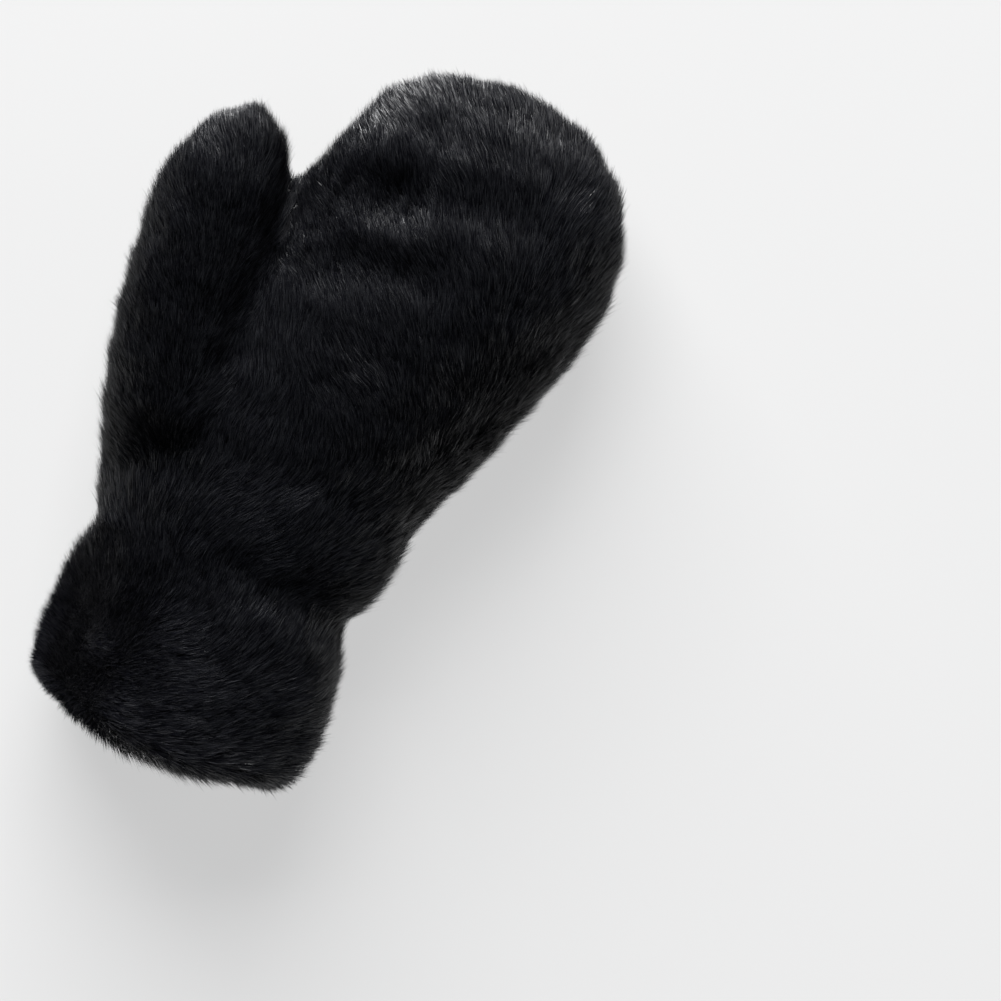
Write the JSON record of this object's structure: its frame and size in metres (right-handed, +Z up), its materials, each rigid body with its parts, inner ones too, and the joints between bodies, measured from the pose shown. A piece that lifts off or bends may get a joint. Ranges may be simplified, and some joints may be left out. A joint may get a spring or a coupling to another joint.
{
  "type": "fur mitten",
  "caption": "Thick plush fur mitten for the left hand, with a padded palm, a raised thumb and a wide rolled fur cuff, lying palm up.",
  "frame": {"origin": "on the surface it lies on, under the middle of the mitten", "axes": "+Z up out of the palm, +Y towards the fingertips, the thumb on the -X side"},
  "size_m": [0.1766, 0.2852, 0.082],
  "materials": {
    "palm_fur": "dense black plush",
    "back_fur": "dense black plush",
    "thumb_fur": "dense black plush",
    "cuff_fur": "dense black plush"
  },
  "bodies": {
    "root": {"palm_panel": "palm_fur", "back_panel": "back_fur", "thumb": "thumb_fur", "cuff": "cuff_fur"}
  },
  "joints": []
}
